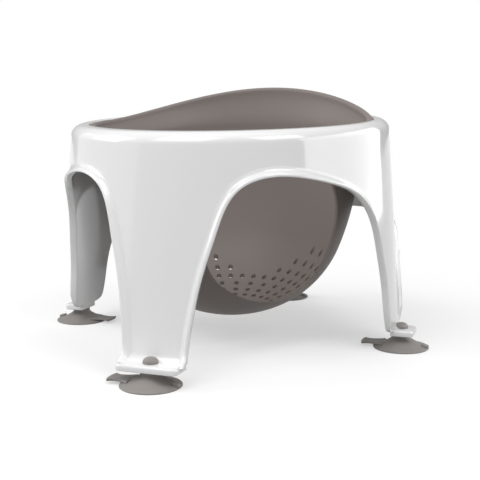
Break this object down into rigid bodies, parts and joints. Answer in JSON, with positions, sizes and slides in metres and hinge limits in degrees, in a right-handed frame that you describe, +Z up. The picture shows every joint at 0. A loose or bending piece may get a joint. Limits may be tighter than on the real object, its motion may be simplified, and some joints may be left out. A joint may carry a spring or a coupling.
{
  "type": "baby bath seat",
  "caption": "Low round bath seat: a glossy white frame with splayed arched legs carries a soft grey drop-in bucket with leg openings and drain holes, and stands on suction cups.",
  "frame": {"origin": "on the floor plane, in the middle between the legs, under the bucket's axis", "axes": "+Z up, -Y to the front where the child's legs come out, +X to the seated child's left, which is the right-hand side seen from the front"},
  "size_m": [0.3536, 0.3888, 0.2229],
  "materials": {
    "frame_white": "glossy white moulded plastic",
    "bucket_grey": "soft-touch matte warm grey",
    "cup_grey": "smooth matt soft grey rubber"
  },
  "bodies": {
    "root": {"frame": "frame_white", "seat_bucket": "bucket_grey", "suction_cup_front": "cup_grey", "suction_cup_right": "cup_grey", "suction_cup_left": "cup_grey", "suction_cup_rear": "cup_grey"}
  },
  "joints": []
}
